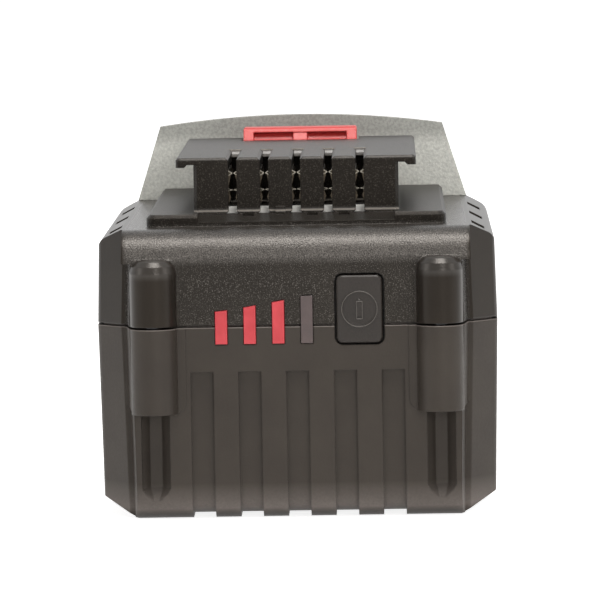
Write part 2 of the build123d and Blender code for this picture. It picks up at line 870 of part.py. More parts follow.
# Upper housing: cover with plinth, rail, vents and the upper halves of the screw columns
vent_plane_origin = ((flat_top_x + shoulder_high_x) / 2, body_height - shoulder_slope_drop / 2)
with BuildPart() as upper_housing:
    add(upper_outer)
    with BuildSketch(Plane.XY.offset(seam_height)):
        Rectangle(pack_width + overrun, body_length + overrun)
    extrude(amount=seam_gap / 2, mode=Mode.SUBTRACT)
    add(upper_pads)
    add(plinth)
    add(neck)
    add(rail_plate)
    for x, y in column_places:
        add(cover_column.moved(Location((x, y, 0))))
    add(upper_inner, mode=Mode.SUBTRACT)
    with BuildSketch(Plane.XY.offset(upper_foot)):
        with Locations(*column_places):
            Rectangle(2 * boss_half_width, 2 * boss_depth)
        add(plan_outline(tongue_inset), mode=Mode.INTERSECT)
    extrude(amount=column_top - column_round - upper_foot)
    for side in (-1, 1):
        with BuildSketch(Plane.XY.offset(holder_top)):
            with Locations((side * press_rib_x, (press_rib_front + press_rib_rear) / 2)):
                Rectangle(press_rib_thickness, press_rib_rear - press_rib_front)
        extrude(amount=roof - holder_top)
    with BuildSketch(Plane.XY.offset(upper_foot)):
        add(plan_outline(tongue_inset - tongue_clearance))
    extrude(amount=tongue_top - upper_foot, mode=Mode.SUBTRACT)
    with BuildSketch(Plane.XY.offset(upper_foot)):
        with Locations(*column_places):
            RegularPolygon(screw_shaft_radius + screw_clearance, screw_sides)
    extrude(amount=screw_hole_top - upper_foot, mode=Mode.SUBTRACT)
    add(rail_hollows, mode=Mode.SUBTRACT)
    add(slot_cutter, mode=Mode.SUBTRACT)
    add(latch_openings, mode=Mode.SUBTRACT)
    add(gauge_windows, mode=Mode.SUBTRACT)
    for side in (-1, 1):
        vent_plane = Plane(
            origin=(side * vent_plane_origin[0], 0, vent_plane_origin[1]),
            x_dir=(0, 1, 0),
            z_dir=(side * shoulder_slope_drop, 0, shoulder_slope_run),
        )
        with BuildSketch(vent_plane):
            for index in range(vent_count):
                with Locations((front_face + vent_first_setback + index * vent_pitch, 0)):
                    Rectangle(vent_length, vent_width)
        extrude(amount=-vent_depth, mode=Mode.SUBTRACT)
        with BuildSketch(Plane.XY.offset(plate_top - dash_depth)):
            dash_offset = slot_half + slot_flare + dash_length / 2
            for reach in (-1, 1):
                with Locations((side * slot_places[-1] + reach * dash_offset, slot_rear - dash_width / 2)):
                    Rectangle(dash_length, dash_width)
        extrude(amount=dash_depth, mode=Mode.SUBTRACT)
    pillar_places = [(left + right) / 2 for left, right in zip(slot_places, slot_places[1:])]
    for index, place in enumerate(pillar_places):
        if index == 1:
            with BuildSketch(Plane.XY.offset(ramp_rear - ramp_front_drop)):
                with Locations((place, rail_front)):
                    Rectangle(snap_tab_width, 2 * snap_tab_depth)
            extrude(amount=snap_tab_rise + ramp_front_drop)
        else:
            with BuildSketch(Plane.XY.offset(ramp_rear - floor_pocket_depth)):
                with Locations((place, rail_front - floor_pocket_length / 2)):
                    Rectangle(floor_pocket_width, floor_pocket_length)
            extrude(amount=floor_pocket_depth, mode=Mode.SUBTRACT)
    with BuildSketch(Plane.XY.offset(body_height)):
        with GridLocations(shield_peg_pitch, 0, shield_peg_count, 1):
            with Locations((0, shield_front + shield_thickness / 2)):
                Rectangle(shield_peg_width + 2 * peg_clearance, shield_peg_width + 2 * peg_clearance)
    extrude(amount=-wall, mode=Mode.SUBTRACT)
write(upper_housing.part, "upper_housing")

# Stop plate that stands across the far end, pegged into the cover
shield_half = shield_top_width / 2
shield_foot_x = flat_top_x + shield_foot_reach
corner_z = body_height + shield_corner_rise
crown_z = body_height + shield_crown_rise
with BuildPart() as end_shield:
    with BuildSketch(Plane.XZ.offset(-shield_front)):
        with BuildLine():
            Polyline((-shield_half, corner_z), (-shield_foot_x, body_height),
                     (shield_foot_x, body_height), (shield_half, corner_z))
            ThreePointArc((shield_half, corner_z), (0, crown_z), (-shield_half, corner_z))
        make_face()
    extrude(amount=-shield_thickness)
    with BuildSketch(Plane.XY.offset(body_height)):
        with GridLocations(shield_peg_pitch, 0, shield_peg_count, 1):
            with Locations((0, shield_front + shield_thickness / 2)):
                Rectangle(shield_peg_width, shield_peg_width)
    extrude(amount=-shield_peg_length)
write(end_shield.part, "end_shield")

# Release latch: catch on top, flange over the springs, thumb button in the rear wall
latch_half = latch_width / 2
latch_crest = latch_front + latch_ramp_run
spring_cup_radius = spring_coil_radius + spring_wire_radius + spring_cup_clearance
flange_half = spring_x + spring_cup_radius + flange_rim
pocket_back = latch_front + latch_pocket_depth
pocket_foot = plate_top - latch_rise
pocket_top = latch_top - latch_top_rim
pocket_top_y = pocket_back + latch_ramp_run / latch_rise * (pocket_top - plate_top)
rib_top = latch_top - latch_edge
rib_back = latch_back - latch_edge
hollow_y = latch_crest + latch_shell
hollow_x = (latch_rib / 2 + latch_half - latch_shell) / 2
with BuildPart() as release_latch:
    with BuildSketch(Plane.YZ):
        with BuildLine():
            Polyline((latch_front, flange_foot), (latch_front, plate_top), (latch_crest, latch_top),
                     (latch_back, latch_top), (latch_back, flange_foot), close=True)
        make_face()
    extrude(amount=latch_half, both=True)
    chamfer(release_latch.edges().group_by(Axis.Z)[-1], length=latch_edge)
    with BuildSketch(Plane.YZ):
        with BuildLine():
            Polyline((latch_front - overrun, pocket_foot), (pocket_back, pocket_foot),
                     (pocket_back, plate_top), (pocket_top_y, pocket_top),
                     (latch_front - overrun, pocket_top), close=True)
        make_face()
    extrude(amount=latch_half - latch_rim, both=True, mode=Mode.SUBTRACT)
    with BuildSketch(Plane.YZ):
        with BuildLine():
            Polyline((latch_front, flange_foot), (latch_front, plate_top), (latch_crest, rib_top),
                     (rib_back, rib_top), (rib_back, flange_foot), close=True)
        make_face()
    extrude(amount=latch_rib / 2, both=True)
    with BuildSketch(Plane.XY.offset(flange_top)):
        for side in (-1, 1):
            with Locations((side * hollow_x, (hollow_y + latch_back) / 2)):
                Rectangle(latch_half - latch_shell - latch_rib / 2, latch_back - hollow_y)
    extrude(amount=latch_top - latch_shell - flange_top, mode=Mode.SUBTRACT)
    with BuildSketch(Plane.XY.offset(flange_foot)):
        with Locations((0, (flange_front + latch_back) / 2)):
            Rectangle(2 * flange_half, latch_back - flange_front)
        with Locations((0, (latch_back + thumb_back) / 2)):
            Rectangle(latch_width, thumb_back - latch_back)
    extrude(amount=flange_thickness)
    with BuildSketch(Plane.XY.offset(flange_foot)):
        with GridLocations(2 * spring_x, 0, 2, 1):
            with Locations((0, spring_y)):
                RegularPolygon(spring_cup_radius, spring_cup_sides)
    extrude(amount=spring_cup_depth, mode=Mode.SUBTRACT)
    with BuildSketch(Plane.XY.offset(thumb_foot)):
        with Locations((0, (skirt_front + thumb_back) / 2)):
            Rectangle(latch_width, thumb_back - skirt_front)
    extrude(amount=thumb_drop)
    with BuildSketch(Plane.XY.offset(flange_top - skirt_drop)):
        with Locations((0, (skirt_front + skirt_back) / 2)):
            Rectangle(latch_width + 2 * skirt_margin, skirt_thickness)
    extrude(amount=skirt_drop - flange_thickness)
    with BuildSketch(Plane.XY.offset(flange_top - thumb_ledge_height)):
        with Locations((0, thumb_back + thumb_ledge / 2)):
            Rectangle(latch_width, thumb_ledge)
    extrude(amount=thumb_ledge_height)
    for index in range(thumb_rib_count):
        with BuildSketch(Plane.XY.offset(thumb_foot + thumb_rib_size + index * thumb_rib_pitch)):
            with Locations((0, thumb_back + thumb_rib_size / 2)):
                Rectangle(latch_width - 2 * latch_rim, thumb_rib_size)
        extrude(amount=thumb_rib_size)
write(release_latch.part, "release_latch")

# Latch springs between the holders and the latch's flange, wound in short straight steps
coil_steps = spring_turns * spring_turn_steps
wire_reach = hypot(spring_wire_radius, spring_wire_radius)
coil_rise = spring_top - spring_foot - 2 * wire_reach
coil_points = [
    (
        spring_x + spring_coil_radius * cos(radians(full_turn * step / spring_turn_steps)),
        spring_y + spring_coil_radius * sin(radians(full_turn * step / spring_turn_steps)),
        spring_foot + wire_reach + coil_rise * step / coil_steps,
    )
    for step in range(coil_steps + 1)
]
with BuildPart() as spring:
    with BuildLine() as wire:
        Polyline(*coil_points)
    with BuildSketch(Plane(origin=wire.line @ 0, z_dir=wire.line % 0)):
        Rectangle(2 * spring_wire_radius, 2 * spring_wire_radius)
    sweep(transition=Transition.RIGHT)
write(spring.part, "latch_spring_right")
write(spring.part.moved(Location((-2 * spring_x, 0, 0))), "latch_spring_left")

# Light pipes of the charge gauge
for index in range(bar_count):
    with BuildPart() as bar:
        with BuildSketch(Plane.XZ.offset(-front_face + bar_proud)):
            with BuildLine():
                Polyline(*bar_outline(index, 0), close=True)
            make_face()
        extrude(amount=-(led_front - front_face + bar_proud))
        with BuildSketch(Plane.XZ.offset(-button_flange_front)):
            with BuildLine():
                Polyline(*bar_outline(index, bar_flange), close=True)
            make_face()
        extrude(amount=-bar_flange_thickness)
    write(bar.part, f"gauge_bar_{index + 1}")

# Gauge button with its raised ring and generic cell mark
with BuildPart() as gauge_button:
    with BuildSketch(Plane.XZ.offset(-front_face + button_proud)):
        with Locations((button_x, button_z)):
            RectangleRounded(button_width, button_height, button_corner)
    extrude(amount=-(button_flange_front - front_face + button_proud))
    chamfer(gauge_button.edges().group_by(Axis.Y)[0], length=button_edge)
    with BuildSketch(Plane.XZ.offset(-button_flange_front)):
        with Locations((button_x, button_z)):
            Rectangle(
                button_width + 2 * (button_gap + button_flange),
                button_height + 2 * (button_gap + button_flange),
            )
    extrude(amount=-button_flange_thickness)
    with BuildSketch(Plane.XZ.offset(-front_face + button_proud)):
        with Locations((button_x, button_z)):
            RegularPolygon(button_ring_radius, button_ring_sides)
            RegularPolygon(button_ring_radius - button_ring_width, button_ring_sides, mode=Mode.SUBTRACT)
            Rectangle(button_mark_width, button_mark_height)
        with Locations((button_x, button_z + button_mark_height / 2 + button_mark_cap / 2)):
            Rectangle(button_mark_cap, button_mark_cap)
    extrude(amount=button_ring_height)
write(gauge_button.part, "gauge_button")

# Switch behind the button
with BuildPart() as tactile_switch:
    with BuildSketch(Plane.XZ.offset(-switch_front)):
        with Locations((button_x, button_z)):
            Rectangle(switch_width, switch_width)
            RegularPolygon(switch_bore, plunger_sides, mode=Mode.SUBTRACT)
    extrude(amount=-switch_depth)
write(tactile_switch.part, "tactile_switch")

with BuildPart() as switch_plunger:
    with BuildSketch(Plane.XZ.offset(-button_flange_back)):
        with Locations((button_x, button_z)):
            RegularPolygon(plunger_radius, plunger_sides)
    extrude(amount=-plunger_length)
write(switch_plunger.part, "switch_plunger")

# Gauge board, its lamps and the pin header that carries it to the control board
header_z = board_top + header_height / 2
pin_hole = header_pin_size + 2 * header_pin_clearance
pin_places = [header_pin_pitch * (index - (header_pins - 1) / 2) for index in range(header_pins)]
with BuildPart() as gauge_board:
    with BuildSketch(Plane.XZ.offset(-gauge_board_front)):
        with Locations((0, (gauge_board_foot + gauge_board_top) / 2)):
            Rectangle(gauge_board_width, gauge_board_top - gauge_board_foot)
        for place in pin_places:
            with Locations((place, header_z)):
                Rectangle(pin_hole, pin_hole, mode=Mode.SUBTRACT)
    extrude(amount=-gauge_board_thickness)
write(gauge_board.part, "gauge_board")

with BuildPart() as gauge_leds:
    with BuildSketch(Plane.XZ.offset(-led_front)):
        for index in range(bar_count):
            with Locations((bar_first_x + index * bar_pitch, seam_height)):
                Rectangle(led_width, led_height)
    extrude(amount=-led_depth)
write(gauge_leds.part, "gauge_leds")

with BuildPart() as gauge_header:
    with BuildSketch(Plane.XY.offset(board_top)):
        with Locations((0, board_front + header_depth / 2)):
            Rectangle(header_width, header_depth)
    extrude(amount=header_height)
    with BuildSketch(Plane.XZ.offset(-board_front)):
        for place in pin_places:
            with Locations((place, header_z)):
                Rectangle(header_pin_size, header_pin_size)
    extrude(amount=board_front - gauge_board_front + header_pin_size)
write(gauge_header.part, "gauge_header")

# Cells: a steel can with a raised positive cap
with BuildPart() as cell:
    with BuildSketch(Plane.YZ.offset(-cell_end)):
        RegularPolygon(cell_radius, cell_sides)
    extrude(amount=cell_length - cell_nub_length)
    with BuildSketch(Plane.YZ.offset(cell_end - cell_nub_length)):
        RegularPolygon(cell_nub_radius, cell_nub_sides)
    extrude(amount=cell_nub_length)
half_turn = 180
for index, (y, z) in enumerate(cell_places):
    turned = half_turn * (index % cell_columns % 2)
    write(Pos(0, y, z) * Rot(0, 0, turned) * cell.part, f"cell_{index + 1:02d}")

# Cell holders, with standoffs for the control board and pins for the latch springs
holder_draft = tan(radians(lower_draft)) * (seam_height - holder_foot)
standoff_ys = (board_front + board_hole_inset, board_rear - board_hole_inset)
with BuildPart() as cell_holder:
    with BuildSketch(Plane.YZ.offset(holder_inner_x)) as holder_side:
        with Locations((cell_shift, (holder_foot + holder_top) / 2)):
            Rectangle(2 * holder_half_length, holder_top - holder_foot)
        chamfer(holder_side.vertices().group_by(Axis.Z)[0], length=holder_end_chamfer)
    extrude(amount=holder_depth)
    foot_edges = cell_holder.edges().group_by(Axis.Z)[0]
    chamfer(foot_edges.sort_by(Axis.X)[-1], length=holder_side_chamfer)
    with BuildSketch(Plane.XY.offset(holder_foot)):
        add(rear_outline(wall + holder_gap + holder_draft))
    extrude(amount=holder_top - holder_foot, mode=Mode.INTERSECT)
    with BuildSketch(Plane.YZ.offset(holder_inner_x)):
        with Locations(*cell_places):
            RegularPolygon(cell_radius + cell_clearance, cell_sides)
    extrude(amount=holder_depth - holder_lip, mode=Mode.SUBTRACT)
    with BuildSketch(Plane.YZ.offset(holder_inner_x)):
        with Locations(*cell_places):
            Rectangle(holder_window, holder_window)
    extrude(amount=holder_depth, mode=Mode.SUBTRACT)
    with BuildSketch(Plane.XY.offset(holder_top)):
        with Locations(*[(standoff_x, y) for y in standoff_ys]):
            RegularPolygon(standoff_radius, standoff_sides)
            RegularPolygon(board_screw_radius + screw_clearance, screw_sides, mode=Mode.SUBTRACT)
    extrude(amount=standoff_height)
    with BuildSketch(Plane.XY.offset(holder_top)):
        with Locations((spring_x, spring_y)):
            RegularPolygon(spring_pin_radius, screw_sides)
    extrude(amount=spring_pin_height)
write(cell_holder.part, "cell_holder_right")
write(mirror(cell_holder.part, about=Plane.YZ), "cell_holder_left")

# Nickel links between neighbouring columns of cells
strip_reach = strip_width / 2


def bus_strips(groups, side):
    """Links for the given groups of cell columns on one side, dimpled down to the cell ends."""
    with BuildPart() as strips:
        for group in groups:
            first_y = cell_places[group[0]][0]
            last_y = cell_places[group[-1]][0]
            welds = [(cell_places[column][0], z) for column in group for z in (low_cell_z, top_cell_z)]
            with BuildSketch(Plane.YZ.offset(holder_outer_x)):
                with Locations(((first_y + last_y) / 2, (low_cell_z + top_cell_z) / 2)):
                    Rectangle(last_y - first_y + strip_width, top_cell_z - low_cell_z + strip_width)
            extrude(amount=strip_thickness)
            with BuildSketch(Plane.YZ.offset(holder_outer_x)):
                with Locations(*welds):
                    Rectangle(strip_dimple_width, strip_dimple_width)
            extrude(amount=cell_end - holder_outer_x)
    return strips.part if side > 0 else mirror(strips.part, about=Plane.YZ)


def column_pairs(start):
    """Cell columns in twos from the given one, with the last by itself if one is left over."""
    return [tuple(range(first, min(first + 2, cell_columns))) for first in range(start, cell_columns, 2)]


write(bus_strips(column_pairs(0), 1), "bus_strips_right")
write(bus_strips([(0,)] + column_pairs(1), -1), "bus_strips_left")

# Power tabs from the end links over the holders to the edges of the control board
strip_top = top_cell_z + strip_reach
strip_face = holder_outer_x + strip_thickness
tab_level = holder_top + tab_thickness
tab_edge = strip_face + tab_thickness
tab_inner = holder_outer_x - tab_width


def power_tab(link_y, board_y, side):
    """One bent strip: up from the link, along the holder's top and up to the board's edge."""
    low_y = min(link_y, board_y) - tab_width / 2
    high_y = max(link_y, board_y) + tab_width / 2
    with BuildPart() as tab:
        with BuildSketch(Plane.YZ.offset(strip_face)):
            with Locations((link_y, (strip_top - tab_width + tab_level) / 2)):
                Rectangle(tab_width, tab_level - strip_top + tab_width)
        extrude(amount=tab_thickness)
        with BuildSketch(Plane.XY.offset(holder_top)):
            with Locations(((tab_inner + tab_edge) / 2, (low_y + high_y) / 2)):
                Rectangle(tab_edge - tab_inner, high_y - low_y)
            with Locations(((board_width / 2 + strip_face) / 2, board_y)):
                Rectangle(strip_face - board_width / 2, tab_width)
        extrude(amount=tab_thickness)
        with BuildSketch(Plane.YZ.offset(board_width / 2)):
            with Locations((board_y, (holder_top + board_top + tab_rise) / 2)):
                Rectangle(tab_width, board_top + tab_rise - holder_top)
        extrude(amount=tab_thickness)
    return tab.part if side > 0 else mirror(tab.part, about=Plane.YZ)


write(power_tab(cell_places[cell_columns - 1][0], positive_tab_y, 1), "power_tab_positive")
write(power_tab(cell_places[0][0], cell_places[0][0], -1), "power_tab_negative")

# Foam pads under the holders
with BuildPart() as foam_pads:
    with BuildSketch(Plane.XY.offset(wall)):
        for side in (-1, 1):
            with Locations((side * (holder_outer_x - holder_end_chamfer + holder_inner_x) / 2, cell_shift)):
                Rectangle(foam_width, 2 * (holder_half_length - 2 * holder_end_chamfer))
    extrude(amount=foam_thickness)
write(foam_pads.part, "foam_pads")

# Control board, its parts and its screws
board_screw_places = [(side * standoff_x, y) for side in (-1, 1) for y in standoff_ys]
with BuildPart() as control_board:
    with BuildSketch(Plane.XY.offset(board_foot)):
        with Locations((0, (board_front + board_rear) / 2)):
            Rectangle(board_width, board_length)
        with Locations(*board_screw_places):
            RegularPolygon(board_screw_radius + screw_clearance, screw_sides, mode=Mode.SUBTRACT)
    extrude(amount=board_thickness)
write(control_board.part, "control_board")

with BuildPart() as board_screws:
    with BuildSketch(Plane.XY.offset(board_top)):
        with Locations(*board_screw_places):
            RegularPolygon(board_screw_head_radius, screw_sides)
    extrude(amount=board_screw_head_height)
    with BuildSketch(Plane.XY.offset(board_top)):
        with Locations(*board_screw_places):
            RegularPolygon(board_screw_radius, screw_sides)
    extrude(amount=-min(board_screw_length, board_top - holder_top))
write(board_screws.part, "board_screws")

chip_row_y = chamber_rear + chip_row_gap + power_chip_length / 2
second_row_y = chip_row_y + power_chip_length / 2 + chip_row_gap + controller_size / 2
with BuildPart() as board_chips:
    with BuildSketch(Plane.XY.offset(board_top)):
        for index in range(power_chip_count):
            with Locations((power_chip_pitch * (index - (power_chip_count - 1) / 2), chip_row_y)):
                Rectangle(power_chip_width, power_chip_length)
    extrude(amount=power_chip_height)
    with BuildSketch(Plane.XY.offset(board_top)):
        with Locations((power_chip_pitch / 2, second_row_y)):
            Rectangle(controller_size, controller_size)
    extrude(amount=controller_height)
    with BuildSketch(Plane.XY.offset(board_top)):
        with Locations((-power_chip_pitch / 2, second_row_y)):
            Rectangle(shunt_width, shunt_length)
    extrude(amount=shunt_height)
write(board_chips.part, "board_chips")

# White terminal block that stands on the board and reaches up into the rail
block_front = chamber_front + block_clearance
block_rear = chamber_rear - block_clearance
contact_front = block_front + block_bar_depth + 2 * block_clearance
contact_rear = contact_front + contact_length
stem_y = (contact_front + contact_rear) / 2
stem_hole_width = contact_stem_width + 2 * contact_stem_clearance
stem_hole_length = contact_stem_length + 2 * contact_stem_clearance
with BuildPart() as terminal_block:
    with BuildSketch(Plane.XY.offset(board_top)):
        with Locations((0, (block_front + block_rear) / 2)):
            Rectangle(2 * block_half, block_rear - block_front)
    extrude(amount=ramp_rear - block_clearance - board_top)
    with BuildSketch(Plane.XY.offset(ramp_rear - block_clearance)):
        with Locations((0, block_front + block_bar_depth / 2)):
            Rectangle(2 * block_half, block_bar_depth)
    extrude(amount=block_bar_height + block_clearance)
    with BuildSketch(Plane.XY.offset(board_top)):
        for place in slot_places:
            with Locations((place, stem_y)):
                Rectangle(stem_hole_width, stem_hole_length)
    extrude(amount=ramp_rear - board_top, mode=Mode.SUBTRACT)
write(terminal_block.part, "terminal_block")

# Sprung fork contacts, pinched at two levels so that they grip a blade
contact_foot = ramp_rear - block_clearance
contact_top = chamber_top - contact_top_gap
leaf_foot = contact_foot + contact_thickness
leaf_inner = contact_outer - contact_thickness
contact_level_shares = (0.0, 0.12, 0.34, 0.52, 0.64, 0.86, 1.0)
contact_pinch_shares = (0.0, 0.0, 1.0, 0.3, 0.3, 1.0, 0.45)
for index, place in enumerate(slot_places):
    inner = []
    for level_share, pinch_share in zip(contact_level_shares, contact_pinch_shares):
        x = leaf_inner - pinch_share * (leaf_inner - contact_pinch)
        inner.append((x, leaf_foot + level_share * (contact_top - leaf_foot)))
    outer = [(x + contact_thickness, level) for x, level in reversed(inner)]
    with BuildPart() as contact:
        with BuildSketch(Plane.XZ.offset(-contact_front)):
            with BuildLine():
                Polyline((0, leaf_foot), *inner, *outer,
                         (contact_outer, contact_foot), (0, contact_foot), close=True)
            make_face()
            mirror(about=Plane.YZ)
        extrude(amount=-contact_length)
        with BuildSketch(Plane.XY.offset(board_top)):
            with Locations((0, stem_y)):
                Rectangle(contact_stem_width, contact_stem_length)
        extrude(amount=contact_foot - board_top)
    write(contact.part.moved(Location((place, 0, 0))), f"terminal_{index + 1}")

# Housing screws, driven up from below in the four columns
with BuildPart() as housing_screws:
    for x, y in column_places:
        with BuildSketch(Plane.XY.offset(screw_seat - screw_head_height)):
            with Locations((x, y)):
                RegularPolygon(screw_head_radius, screw_head_sides)
                Rectangle(screw_drive_length, screw_drive_width, mode=Mode.SUBTRACT)
                Rectangle(screw_drive_width, screw_drive_length, mode=Mode.SUBTRACT)
        extrude(amount=screw_drive_depth)
        with BuildSketch(Plane.XY.offset(screw_seat - screw_head_height + screw_drive_depth)):
            with Locations((x, y)):
                RegularPolygon(screw_head_radius, screw_head_sides)
        extrude(amount=screw_head_height - screw_drive_depth)
        with BuildSketch(Plane.XY.offset(screw_seat)):
            with Locations((x, y)):
                RegularPolygon(screw_shaft_radius, screw_sides)
        extrude(amount=screw_length)
write(housing_screws.part, "housing_screws")
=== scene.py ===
"""Looks of the power tool battery pack: materials, fine detail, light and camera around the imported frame."""

import json
from math import cos, radians, sin

import bmesh
import bpy
from mathutils import Matrix, Vector


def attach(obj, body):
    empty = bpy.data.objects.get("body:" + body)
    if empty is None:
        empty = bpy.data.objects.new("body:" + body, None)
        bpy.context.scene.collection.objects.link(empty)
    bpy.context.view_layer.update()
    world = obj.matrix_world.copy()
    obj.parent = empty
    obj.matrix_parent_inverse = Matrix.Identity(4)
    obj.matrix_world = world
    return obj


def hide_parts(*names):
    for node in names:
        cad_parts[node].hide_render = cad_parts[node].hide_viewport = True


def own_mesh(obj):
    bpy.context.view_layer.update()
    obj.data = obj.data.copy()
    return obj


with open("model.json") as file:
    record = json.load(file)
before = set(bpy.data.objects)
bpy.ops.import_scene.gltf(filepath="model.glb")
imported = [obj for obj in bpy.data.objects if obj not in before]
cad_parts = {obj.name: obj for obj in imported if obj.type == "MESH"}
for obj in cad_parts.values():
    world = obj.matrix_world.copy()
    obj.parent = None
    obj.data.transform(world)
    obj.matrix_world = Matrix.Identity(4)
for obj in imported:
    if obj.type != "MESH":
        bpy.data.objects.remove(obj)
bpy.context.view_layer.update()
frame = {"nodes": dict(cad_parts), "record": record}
nodes = frame["nodes"]
scene = bpy.context.scene
mm = 0.001

# Camera at the photograph's viewing angle
camera_place = (18.5 * mm, -1237.1 * mm, 133.1 * mm)
camera_pitch = radians(4.366)
camera_yaw = radians(0.862)
camera_roll = radians(0.955)
sensor_width = 36.0
focal_length = 366.96

# Soft lights: place, width and height in metres, and power in watts
softboxes = {
    "key": ((0.12, -0.34, 1.25), 0.7, 0.6, 16.5),
    "front": ((0.5, -1.5, 0.45), 0.4, 0.4, 4.5),
    "left": ((-1.3, -0.5, 0.5), 0.5, 0.8, 2.5),
    "right": ((1.3, -0.5, 0.5), 0.5, 0.8, 2.5),
}
light_target = (0, 0, 40 * mm)
light_colour = (1.0, 0.975, 0.945)
world_light = 0.25

# Floor: half its side and the size of its clouds in metres, and how brightly it shows
floor_half = 6.0
floor_cloud = 0.4
floor_glow = 0.85
floor_dark = (0.9, 0.9, 0.9, 1)
floor_light = (0.92, 0.92, 0.92, 1)

# Contrast over a noise: how far to each side of the middle a ramp reaches its full colours
mild = 0.2
clear = 0.15
strong = 0.1

# Size of a plastic's mottling, how far roughness strays from its middle, samples of a softened edge
mottle_size = 9 * mm
plastic_unevenness = 0.06
metal_unevenness = 0.08
edge_samples = 6

# Upward share of a face's normal past which the face counts as flat, with the fade to either side
flat_start = (0.5, 0.1)

# Places where the upper housing's finish changes, each with the fade to either side.
# Columns go by depth and corners by width, both from the middle, and all others by height.
# The brow band, and the narrowest bands at the top edges of the rail and the plinth, carry painted highlights.
column_start = (54.75 * mm, 0.15 * mm)
corner_start = (33.4 * mm, 0.4 * mm)
dome_start = (47.6 * mm, 0.5 * mm)
rail_start = (57.0 * mm, 0.2 * mm)
rail_rim_start = (69.1 * mm, 0.15 * mm)
rail_highlight_start = (69.3 * mm, 0.05 * mm)
brow_highlight_band = (50.6 * mm, 55.5 * mm, 0.9 * mm)
plinth_rim_band = (58.8 * mm, 59.6 * mm, 0.15 * mm)
plinth_highlight_band = (58.92 * mm, 59.3 * mm, 0.05 * mm)

# Sizes of the upper housing's grain, sparks and mottling, the noise level past which a spark shows,
# and the share of the relief that polished faces keep
housing_grain = 0.34 * mm
housing_spark = 0.2 * mm
housing_mottle = 11 * mm
spark_start = (0.64, 0.06)
polished_relief = 0.12

# Heights of the tub's lighter band round its foot, a painted reflection of the floor, and of the painted
# highlight line along its upper edge, with their fades
reflection_start = (1.5 * mm, 0.7 * mm)
reflection_end = (4.6 * mm, 2.6 * mm)
lip_highlight_band = (37.5 * mm, 38.0 * mm, 0.06 * mm)

# Tints of the reflections
glint_tint = (1.0, 0.95, 0.9, 1.0)
tub_tint = (1.0, 0.94, 0.88, 1.0)
front_tint = (0.42, 0.39, 0.36, 1.0)
polished_tint = (0.42, 0.38, 0.34, 1.0)
rail_tint = (0.3, 0.27, 0.24, 1.0)

# Slots in the rail, with the contacts behind them
slot_pitch = 6.27 * mm
slot_places = [slot_pitch * step for step in range(-2, 3)]
slot_half = 0.82 * mm
slot_rear = -2.8 * mm
rail_front = -34.3 * mm
rail_top = 69.6 * mm
contact_front = -28.6 * mm

# Depth to which lips and ribs are rooted in the piece that carries them
rooted = 0.05 * mm

# Lips of the contacts: height, reach of the arms and thickness of the upper and the lower pair,
# and how far tips and roots lie from the slot's middle
lip_rows = (
    (66.2 * mm, 0.55 * mm, 0.18 * mm),
    (62.9 * mm, 0.26 * mm, 0.1 * mm),
)
lip_tip = 0.13 * mm
lip_root = 0.95 * mm
lip_proud = 0.3 * mm

# Mouths of the slots: reach behind the slot and drop below the rail's top, step by step,
# and the height over which the mouth flares
mouth_curve = [
    (reach * mm, drop * mm)
    for reach, drop in ((0.0, 0.1), (0.25, 0.2), (0.6, 0.5), (0.95, 0.95), (1.2, 1.45))
]
mouth_flare = 0.5 * mm
mouth_depth = 1.6 * mm

# Ribs over the snap tab: height and half width of each
rib_rows = (
    (61.9 * mm, 0.45 * mm),
    (61.5 * mm, 0.6 * mm),
    (61.1 * mm, 0.5 * mm),
)
tab_place = -slot_pitch / 2
rib_taper = 0.1 * mm
rib_rise = 0.11 * mm
rib_fall = 0.06 * mm
rib_proud = 0.1 * mm

# Mark on the gauge button: a ring round the outline of a cell with its cap
mark_x = 12.2 * mm
mark_z = 40.9 * mm
mark_face = -54.95 * mm
mark_proud = 0.05 * mm
mark_rooted = 0.03 * mm
ring_radius = 3.45 * mm
ring_tube = 0.08 * mm
ring_turns = 48
ring_sides = 6
cell_half = 0.55 * mm
cell_foot = -1.9 * mm
cell_head = 1.5 * mm
cell_line = 0.14 * mm
cap_rise = 0.3 * mm
cap_width = 0.4 * mm


def srgb(red, green, blue):
    """Scene colour of an sRGB triple given in 0 to 255, by the standard's curve."""
    def linear(value):
        share = value / 255
        return share / 12.92 if share <= 0.04045 else ((share + 0.055) / 1.055) ** 2.4
    return (linear(red), linear(green), linear(blue), 1.0)


def add_camera():
    """Long lens a little above the pack, turned and rolled slightly as in the photograph."""
    forward = Vector((
        -sin(camera_yaw) * cos(camera_pitch),
        cos(camera_yaw) * cos(camera_pitch),
        -sin(camera_pitch),
    ))
    level_side = forward.cross(Vector((0, 0, 1))).normalized()
    level_top = level_side.cross(forward)
    side = cos(camera_roll) * level_side - sin(camera_roll) * level_top
    top = side.cross(forward)
    rotation = Matrix((side, top, -forward)).transposed().to_4x4()
    data = bpy.data.cameras.new("camera")
    data.sensor_width = sensor_width
    data.lens = focal_length
    camera = bpy.data.objects.new("camera", data)
    camera.matrix_world = Matrix.Translation(Vector(camera_place)) @ rotation
    scene.collection.objects.link(camera)
    scene.camera = camera


# Node helpers
def feed(tree, value, socket):
    """Link a value to a socket, or set the socket to a plain number or colour."""
    if isinstance(value, (float, int, tuple)):
        socket.default_value = value
    else:
        tree.links.new(value, socket)


def feed_inputs(tree, node, values):
    """Feed a node's inputs by their names."""
    for name, value in values.items():
        feed(tree, value, node.inputs[name])


def coordinates(tree):
    """Object coordinates, as outputs named X, Y and Z."""
    place = tree.nodes.new("ShaderNodeTexCoord")
    axes = tree.nodes.new("ShaderNodeSeparateXYZ")
    tree.links.new(place.outputs["Object"], axes.inputs["Vector"])
    return axes.outputs


